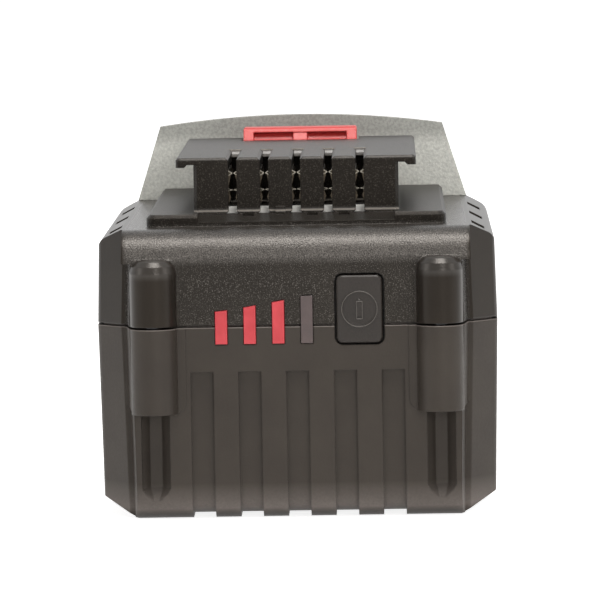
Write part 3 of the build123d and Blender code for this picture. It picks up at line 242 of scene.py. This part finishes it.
def noise(tree, size, detail=2.0, roughness=0.5):
    """Noise whose blobs are about the given size, in object space."""
    place = tree.nodes.new("ShaderNodeTexCoord")
    node = tree.nodes.new("ShaderNodeTexNoise")
    feed_inputs(tree, node, {
        "Vector": place.outputs["Object"],
        "Scale": 1 / size,
        "Detail": detail,
        "Roughness": roughness,
    })
    return node.outputs["Fac"]


def grain_noise(tree, size):
    """Noise of a spark-eroded grain."""
    return noise(tree, size, detail=3.0, roughness=0.6)


def ramp(tree, value, dark, light, contrast=mild):
    """Colour that goes from dark to light across the middle of a noise."""
    node = tree.nodes.new("ShaderNodeValToRGB")
    lower, upper = node.color_ramp.elements
    lower.position = 0.5 - contrast
    lower.color = dark
    upper.position = 0.5 + contrast
    upper.color = light
    tree.links.new(value, node.inputs["Fac"])
    return node.outputs["Color"]


def scaled(tree, value, start, stop, low=0.0, high=1.0):
    """Value from start to stop mapped onto low to high, and held at them beyond."""
    node = tree.nodes.new("ShaderNodeMapRange")
    feed_inputs(tree, node, {
        "Value": value, "From Min": start, "From Max": stop, "To Min": low, "To Max": high,
    })
    return node.outputs["Result"]


def uneven(tree, value, middle, reach):
    """Number that strays from its middle with a noise."""
    return scaled(tree, value, 0.5 - mild, 0.5 + mild, middle - reach, middle + reach)


def combine(tree, operation, *values):
    """Maths on values or plain numbers."""
    node = tree.nodes.new("ShaderNodeMath")
    node.operation = operation
    for value, socket in zip(values, node.inputs):
        feed(tree, value, socket)
    return node.outputs["Value"]


def past(tree, value, edge, fade):
    """Mask that turns from 0 to 1 where a value passes an edge."""
    return scaled(tree, value, edge - fade, edge + fade)


def within(tree, value, low, high, fade):
    """Mask that is 1 where a value lies between two edges."""
    return combine(tree, "SUBTRACT", past(tree, value, low, fade), past(tree, value, high, fade))


def opposite(tree, mask):
    """Mask that is 1 where the given one is 0."""
    return combine(tree, "SUBTRACT", 1.0, mask)


def upright(tree):
    """Mask of the faces that stand upright."""
    geometry = tree.nodes.new("ShaderNodeNewGeometry")
    axes = tree.nodes.new("ShaderNodeSeparateXYZ")
    tree.links.new(geometry.outputs["Normal"], axes.inputs["Vector"])
    return opposite(tree, past(tree, combine(tree, "ABSOLUTE", axes.outputs["Z"]), *flat_start))


def between(tree, mask, first, second):
    """Colour or number that goes from the first to the second by a mask."""
    colours = isinstance(first, tuple) or getattr(first, "type", "VALUE") == "RGBA"
    node = tree.nodes.new("ShaderNodeMix")
    node.data_type = "RGBA" if colours else "FLOAT"
    tree.links.new(mask, node.inputs[0])
    ends = [socket for socket in node.inputs if socket.enabled and socket.name in ("A", "B")]
    for value, socket in zip((first, second), ends):
        feed(tree, value, socket)
    kind = "RGBA" if colours else "VALUE"
    return [socket for socket in node.outputs if socket.enabled and socket.type == kind][0]


def bump(tree, height, distance, strength=1.0, edge=0.0):
    """Bump from a height, over edges softened by the given radius."""
    node = tree.nodes.new("ShaderNodeBump")
    feed_inputs(tree, node, {"Height": height, "Distance": distance, "Strength": strength})
    if edge:
        soft = tree.nodes.new("ShaderNodeBevel")
        soft.samples = edge_samples
        soft.inputs["Radius"].default_value = edge
        tree.links.new(soft.outputs["Normal"], node.inputs["Normal"])
    return node.outputs["Normal"]


def seen(tree):
    """Mask of the rays that show a surface to the eye: straight, mirrored or through a clear piece."""
    path = tree.nodes.new("ShaderNodeLightPath")
    shown = combine(tree, "MAXIMUM", path.outputs["Is Camera Ray"], path.outputs["Is Glossy Ray"])
    return combine(tree, "MAXIMUM", shown, path.outputs["Is Transmission Ray"])


# Finishes, which take their colours as sRGB triples
def new_material(name):
    """Node material with its tree and its principled shader."""
    material = bpy.data.materials.new(name)
    material.use_nodes = True
    return material, material.node_tree, material.node_tree.nodes["Principled BSDF"]


def moulded(name, dark, light, rough, grain, depth, edge=0.25 * mm, speckle=0.5, shine=0.5):
    """Moulded plastic: spark-eroded grain, faint mottling and softened edges."""
    material, tree, shader = new_material(name)
    grains = grain_noise(tree, grain)
    mottle = combine(tree, "MULTIPLY", noise(tree, mottle_size, detail=3.0), 1 - speckle)
    mix = combine(tree, "MULTIPLY_ADD", grains, speckle, mottle)
    feed_inputs(tree, shader, {
        "Base Color": ramp(tree, mix, srgb(*dark), srgb(*light), clear),
        "Roughness": uneven(tree, grains, rough, plastic_unevenness),
        "Specular IOR Level": shine,
        "Normal": bump(tree, grains, depth, edge=edge),
    })
    return material


def banded(name, dark, light, share, start, rough, top_rough, grain, depth, edge=0.25 * mm):
    """Coarse grained plastic whose upper band is darker by a share of the brightness, as painted shade, and
    has its own roughness.
    """
    material, tree, shader = new_material(name)
    grains = grain_noise(tree, grain)
    in_band = past(tree, coordinates(tree)["Z"], *start)
    pale = [srgb(*shade) for shade in (dark, light)]
    painted_shade_colours = [srgb(*[share * level for level in shade]) for shade in (dark, light)]
    lower = ramp(tree, grains, *pale, clear)
    upper = ramp(tree, grains, *painted_shade_colours, strong)
    feed_inputs(tree, shader, {
        "Base Color": between(tree, in_band, lower, upper),
        "Roughness": between(tree, in_band, rough, top_rough),
        "Normal": bump(tree, grains, depth, edge=edge),
    })
    return material


def footed(name, dark, light, reflection_dark, reflection_light, rough, grain, depth, edge, shine):
    """Fine grained tub plastic with a lighter band round its foot as a painted reflection of the floor, and a
    painted highlight line along its upper edge.
    """
    material, tree, shader = new_material(name)
    height = coordinates(tree)["Z"]
    grains = grain_noise(tree, grain)
    mottle = noise(tree, mottle_size, detail=3.0)
    # Lighter band round the foot: a painted reflection of the floor
    under = opposite(tree, past(tree, height, *reflection_end))
    on_floor_reflection = combine(tree, "MULTIPLY", under, past(tree, height, *reflection_start))
    on_lip_highlight = combine(tree, "MULTIPLY", within(tree, height, *lip_highlight_band), upright(tree))
    plain = ramp(tree, mottle, srgb(*dark), srgb(*light))
    painted_light = ramp(tree, grains, srgb(*reflection_dark), srgb(*reflection_light))
    colour = between(tree, on_floor_reflection, plain, painted_light)
    feed_inputs(tree, shader, {
        # Light line under the seam: a painted highlight
        "Base Color": between(tree, on_lip_highlight, colour, srgb(*reflection_light)),
        "Roughness": uneven(tree, grains, rough, plastic_unevenness),
        "Specular IOR Level": shine,
        "Specular Tint": tub_tint,
        "Normal": bump(tree, grains, depth, edge=edge),
    })
    return material


def shell(name, grainy, smooth, rail, painted_light, rough, smooth_rough, rail_rough, depth, edge, shine):
    """Housing plastic: grainy front with a painted highlight on the brow, polished columns and corners, darker
    rail block, and painted highlight lines along the rail's and the plinth's top edges.

    The grainy front and the rail each have a dark, a light and a spark colour.
    """
    material, tree, shader = new_material(name)
    axes = coordinates(tree)
    height = axes["Z"]
    on_column = past(tree, combine(tree, "ABSOLUTE", axes["Y"]), *column_start)
    on_corner = past(tree, combine(tree, "ABSOLUTE", axes["X"]), *corner_start)
    polished = combine(tree, "MAXIMUM", on_column, on_corner)
    on_dome = combine(tree, "MULTIPLY", on_column, past(tree, height, *dome_start))
    on_rail = past(tree, height, *rail_start)
    on_brow_highlight = within(tree, height, *brow_highlight_band)
    on_rim = combine(
        tree, "MAXIMUM", past(tree, height, *rail_rim_start), within(tree, height, *plinth_rim_band),
    )
    # Narrow bands at the rail's and the plinth's top edges, whose upright faces get a painted highlight line
    highlight_lines = combine(
        tree, "MAXIMUM", past(tree, height, *rail_highlight_start), within(tree, height, *plinth_highlight_band),
    )
    on_highlight_line = combine(tree, "MULTIPLY", highlight_lines, upright(tree))

    grains = grain_noise(tree, housing_grain)
    fine = noise(tree, housing_spark, detail=1.0)
    mottle = noise(tree, housing_mottle, detail=3.0)
    on_spark = past(tree, fine, *spark_start)
    front_dark, front_light, front_spark = (srgb(*shade) for shade in grainy)
    smooth_dark, smooth_light = (srgb(*shade) for shade in smooth)
    rail_dark, rail_light, rail_spark = (srgb(*shade) for shade in rail)
    front = between(tree, on_spark, ramp(tree, mottle, front_dark, front_light), front_spark)
    # The brow's lighter speckle is a painted highlight
    brow = ramp(tree, fine, front_dark, front_spark, clear)
    block = between(tree, on_spark, ramp(tree, mottle, rail_dark, rail_light), rail_spark)
    colour = between(tree, on_brow_highlight, front, brow)
    colour = between(tree, polished, colour, ramp(tree, mottle, smooth_dark, smooth_light))
    colour = between(tree, on_rail, colour, block)
    # Painted highlight lines on the upright faces at the rail's and the plinth's top edges
    colour = between(tree, on_highlight_line, colour, srgb(*painted_light))

    roughness = between(tree, polished, rough, smooth_rough)
    roughness = between(tree, on_rail, roughness, rail_rough)
    tint = front_tint
    for mask, other in (
        (on_brow_highlight, glint_tint), (polished, polished_tint), (on_rail, rail_tint),
        (on_rim, glint_tint), (on_dome, glint_tint),
    ):
        tint = between(tree, mask, tint, other)
    relief = combine(tree, "MULTIPLY", grains, between(tree, polished, 1.0, polished_relief))
    feed_inputs(tree, shader, {
        "Base Color": colour,
        "Roughness": roughness,
        "Specular IOR Level": shine,
        "Specular Tint": tint,
        "Normal": bump(tree, relief, depth, edge=edge),
    })
    return material


def lamp(name, dark, light, glow):
    """Clear red or dark light pipe with a slightly uneven glow inside."""
    material, tree, shader = new_material(name)
    colour = ramp(tree, noise(tree, size=3 * mm), srgb(*dark), srgb(*light))
    waves = noise(tree, size=0.8 * mm)
    feed_inputs(tree, shader, {
        "Base Color": colour,
        "Emission Color": colour,
        "Emission Strength": glow,
        "Roughness": 0.3,
        "Normal": bump(tree, waves, distance=0.02 * mm, strength=0.6, edge=0.15 * mm),
    })
    return material


def metal(name, dark, light, rough, grain):
    """Plain or plated metal with fine unevenness."""
    material, tree, shader = new_material(name)
    cloud = noise(tree, grain, detail=4.0)
    feed_inputs(tree, shader, {
        "Base Color": ramp(tree, cloud, srgb(*dark), srgb(*light)),
        "Metallic": 1.0,
        "Roughness": uneven(tree, cloud, rough, metal_unevenness),
        "Normal": bump(tree, cloud, distance=0.02 * mm, strength=0.4),
    })
    return material


# Materials by the record's slots
materials = {
    "housing": shell(
        "housing",
        grainy=((28, 25, 22), (36, 33, 29), (92, 88, 84)),
        smooth=((27, 23, 19), (34, 29, 24)),
        rail=((18, 16, 13), (25, 22, 19), (62, 58, 53)),
        painted_light=(138, 132, 125),
        rough=0.26, smooth_rough=0.3, rail_rough=0.42, depth=0.1 * mm, edge=0.4 * mm, shine=0.45,
    ),
    # The shield's upper band is darker as painted shade, and rougher
    "shield_grey": banded(
        "shield_grey", (190, 191, 185), (214, 215, 208), share=0.8, start=(69.0 * mm, 1.6 * mm),
        rough=0.55, top_rough=0.7, grain=0.6 * mm, depth=0.08 * mm,
    ),
    "latch_red": moulded(
        "latch_red", (188, 46, 44), (202, 58, 54),
        rough=0.38, grain=0.6 * mm, depth=0.01 * mm, edge=0.4 * mm,
    ),
    "lamp_lit": lamp("lamp_lit", (172, 40, 48), (188, 54, 62), glow=0.2),
    "lamp_unlit": lamp("lamp_unlit", (66, 54, 53), (78, 64, 62), glow=0.0),
    "button_dark": moulded(
        "button_dark", (38, 34, 31), (50, 45, 41),
        rough=0.34, grain=0.4 * mm, depth=0.04 * mm, edge=0.4 * mm, speckle=0.6, shine=0.25,
    ),
    "white_nylon": moulded(
        "white_nylon", (240, 239, 234), (248, 247, 242), rough=0.5, grain=0.8 * mm, depth=0.01 * mm,
    ),
    # Contact metal darkened as painted shade, since the contacts sit deep in the slots
    "contact_metal": metal("contact_metal", (74, 66, 56), (96, 88, 76), rough=0.3, grain=2 * mm),
    "cell_wrap": moulded(
        "cell_wrap", (52, 92, 82), (60, 104, 94), rough=0.35, grain=2 * mm, depth=0.01 * mm,
    ),
    "holder_black": moulded(
        "holder_black", (34, 33, 32), (46, 44, 43), rough=0.55, grain=0.5 * mm, depth=0.02 * mm,
    ),
    "nickel": metal("nickel", (196, 192, 184), (214, 210, 202), rough=0.35, grain=3 * mm),
    "board_green": moulded(
        "board_green", (26, 84, 50), (34, 98, 60), rough=0.35, grain=1.5 * mm, depth=0.01 * mm,
    ),
    "chip_black": moulded(
        "chip_black", (34, 34, 34), (44, 44, 44), rough=0.6, grain=0.3 * mm, depth=0.01 * mm,
    ),
    "led_white": moulded(
        "led_white", (222, 216, 196), (236, 230, 210), rough=0.3, grain=1 * mm, depth=0.01 * mm,
    ),
    "screw_steel": metal("screw_steel", (90, 90, 92), (120, 120, 122), rough=0.35, grain=1 * mm),
    "spring_steel": metal("spring_steel", (150, 150, 150), (180, 180, 180), rough=0.3, grain=1 * mm),
    "foam": moulded("foam", (50, 50, 52), (66, 66, 68), rough=0.9, grain=0.8 * mm, depth=0.1 * mm),
}

# The tub shares the housing's slot and has a smoother finish of its own
tub = footed(
    "tub", (45, 40, 36), (52, 47, 42), reflection_dark=(94, 88, 84), reflection_light=(106, 99, 95),
    rough=0.46, grain=0.5 * mm, depth=0.03 * mm, edge=0.45 * mm, shine=0.28,
)


def dress_nodes():
    """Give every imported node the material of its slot, and the tub its own."""
    for part in frame["record"]["subparts"]:
        name = part["node"]
        surfaces = nodes[name].data.materials
        surfaces.clear()
        surfaces.append(tub if name == "lower_housing" else materials[part["material_slot"]])


# Fine detail that rides on the pack and the button
def prism(vertices, faces, outline, near, far):
    """Add a closed prism with an (x, z) outline between two depths to the lists."""
    first = len(vertices)
    count = len(outline)
    for depth in (near, far):
        vertices.extend((x, depth, z) for x, z in outline)
    faces.append(tuple(first + step for step in range(count)))
    faces.append(tuple(first + count + step for step in reversed(range(count))))
    for step in range(count):
        following = (step + 1) % count
        faces.append((first + following, first + step, first + count + step, first + count + following))


def detail(name, vertices, faces, material, record_slot, body="pack"):
    """Make a piece from its mesh data and let it ride on a body."""
    mesh = bpy.data.meshes.new(name)
    mesh.from_pydata(vertices, [], faces)
    work = bmesh.new()
    work.from_mesh(mesh)
    bmesh.ops.recalc_face_normals(work, faces=work.faces)
    work.to_mesh(mesh)
    work.free()
    mesh.materials.append(material)
    piece = bpy.data.objects.new(name, mesh)
    scene.collection.objects.link(piece)
    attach(piece, body)


def add_contact_lips():
    """Chevron lips that lead a blade between the prongs of each contact, in a lighter metal than the contacts
    as a painted highlight.
    """
    tip_highlight_metal = metal("contact_tip_highlight", (150, 143, 130), (186, 180, 166), rough=0.3, grain=1 * mm)
    for index, place in enumerate(slot_places, 1):
        vertices, faces = [], []
        for level, reach, thick in lip_rows:
            for side in (-1, 1):
                tip_x = place + side * lip_tip
                root_x = place + side * lip_root
                outline = [
                    (root_x, level + reach),
                    (tip_x, level + thick / 2),
                    (tip_x, level - thick / 2),
                    (root_x, level - reach),
                    (root_x, level - reach + thick),
                    (tip_x + side * thick, level),
                    (root_x, level + reach - thick),
                ]
                prism(vertices, faces, outline, contact_front - lip_proud, contact_front + rooted)
        detail(f"contact_lips_{index}", vertices, faces, tip_highlight_metal, "contact_metal")


def add_slot_mouths():
    """Rounded lead-in at the far end of each slot, lighter than the rail block as a painted highlight."""
    mouth_highlight = moulded(
        "mouth", (58, 53, 48), (66, 60, 55), rough=0.3, grain=0.5 * mm, depth=0.01 * mm, edge=0.1 * mm,
    )
    foot = rail_top - mouth_depth
    corners = 4
    for index, place in enumerate(slot_places, 1):
        vertices, faces = [], []
        for reach, drop in mouth_curve:
            half = slot_half + max(0.0, mouth_flare - drop)
            level = rail_top - drop
            depth = slot_rear - reach
            vertices += [
                (place - half, depth, level),
                (place + half, depth, level),
                (place + slot_half, depth, foot),
                (place - slot_half, depth, foot),
            ]
        last = len(vertices) - corners
        for first in range(0, last, corners):
            behind = first + corners
            for edge in range(corners):
                following = (edge + 1) % corners
                faces.append((first + edge, first + following, behind + following, behind + edge))
        faces.append(tuple(range(corners)))
        faces.append(tuple(last + corner for corner in reversed(range(corners))))
        detail(f"slot_mouth_{index}", vertices, faces, mouth_highlight, "housing")


def add_tab_ribs():
    """Three fine ribs above the snap tab of the second pillar, lighter than the housing as a painted
    highlight.
    """
    light = moulded(
        "ribs", (120, 114, 106), (134, 128, 120), rough=0.35, grain=0.3 * mm, depth=0.01 * mm,
    )
    vertices, faces = [], []
    for level, half in rib_rows:
        left, right = tab_place - half, tab_place + half
        outline = [
            (left, level),
            (left + rib_taper, level + rib_rise),
            (right - rib_taper, level + rib_rise),
            (right, level),
            (right - rib_taper, level - rib_fall),
            (left + rib_taper, level - rib_fall),
        ]
        prism(vertices, faces, outline, rail_front - rib_proud, rail_front + rooted)
    detail("tab_ribs", vertices, faces, light, "housing")


def add_button_mark():
    """Fine raised ring and cell outline on the gauge button."""
    vertices, faces = [], []
    for turn in range(ring_turns):
        angle = radians(360 * turn / ring_turns)
        for side in range(ring_sides):
            lean = radians(360 * side / ring_sides)
            reach = ring_radius + ring_tube * cos(lean)
            vertices.append((
                mark_x + reach * cos(angle),
                mark_face + ring_tube * sin(lean),
                mark_z + reach * sin(angle),
            ))
    for turn in range(ring_turns):
        here = turn * ring_sides
        there = (turn + 1) % ring_turns * ring_sides
        for side in range(ring_sides):
            along = (side + 1) % ring_sides
            faces.append((here + side, there + side, there + along, here + along))

    middle, height = (cell_foot + cell_head) / 2, cell_head - cell_foot
    inner = 2 * cell_half - cell_line
    for bar_x, bar_z, width, tall in (
        (-cell_half, middle, cell_line, height),
        (cell_half, middle, cell_line, height),
        (0, cell_foot, inner, cell_line),
        (0, cell_head, inner, cell_line),
        (0, cell_head + cap_rise, cap_width, cell_line),
    ):
        left, right = mark_x + bar_x - width / 2, mark_x + bar_x + width / 2
        low, high = mark_z + bar_z - tall / 2, mark_z + bar_z + tall / 2
        outline = [(left, low), (right, low), (right, high), (left, high)]
        prism(vertices, faces, outline, mark_face - mark_proud, mark_face + mark_rooted)
    pale = moulded("mark", (84, 79, 74), (96, 91, 85), rough=0.4, grain=0.4 * mm, depth=0.005 * mm)
    detail("button_mark", vertices, faces, pale, "button_dark", "button")


def add_latch_springs():
    """Copies of the latch springs that ride on the pack in place of the imported springs, which are hidden."""
    for side in ("left", "right"):
        name = f"latch_spring_{side}"
        node = nodes[name]
        piece = bpy.data.objects.new(f"latch_coil_{side}", node.data.copy())
        scene.collection.objects.link(piece)
        piece.matrix_world = node.matrix_world.copy()
        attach(piece, "pack")
        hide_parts(name)
        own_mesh(piece)


# Floor, backdrop and light
def add_floor():
    """Pale floor that takes the pack's shadow."""
    material, tree, shader = new_material("floor")
    feed_inputs(tree, shader, {
        "Base Color": ramp(tree, noise(tree, floor_cloud), floor_dark, floor_light),
        "Roughness": 0.9,
        "Specular IOR Level": 0.0,
        "Emission Color": (1, 1, 1, 1),
        "Emission Strength": combine(tree, "MULTIPLY", seen(tree), floor_glow),
    })
    corners = [(-1, -1), (1, -1), (1, 1), (-1, 1)]
    mesh = bpy.data.meshes.new("floor")
    mesh.from_pydata([(floor_half * x, floor_half * y, 0) for x, y in corners], [], [(0, 1, 2, 3)])
    mesh.materials.append(material)
    floor = bpy.data.objects.new("floor", mesh)
    scene.collection.objects.link(floor)


def add_world():
    """White surroundings for the eye and for reflections, and an even dimmer light from them."""
    world = bpy.data.worlds.new("studio")
    world.use_nodes = True
    tree = world.node_tree
    feed_inputs(tree, tree.nodes["Background"], {
        "Color": (1, 1, 1, 1),
        "Strength": scaled(tree, seen(tree), 0.0, 1.0, world_light, 1.0),
    })
    scene.world = world


def add_softbox(name, place, width, height, power):
    """Rectangular soft light aimed at the pack."""
    data = bpy.data.lights.new(name, "AREA")
    data.shape = "RECTANGLE"
    data.size = width
    data.size_y = height
    data.energy = power
    data.color = light_colour
    light = bpy.data.objects.new(name, data)
    light.location = place
    light.rotation_euler = (Vector(light_target) - Vector(place)).to_track_quat("-Z", "Y").to_euler()
    scene.collection.objects.link(light)


add_camera()
add_floor()
add_world()
for name, setting in softboxes.items():
    add_softbox(name, *setting)
dress_nodes()
add_contact_lips()
add_slot_mouths()
add_tab_ribs()
add_button_mark()
add_latch_springs()

scene.view_settings.view_transform = "Standard"
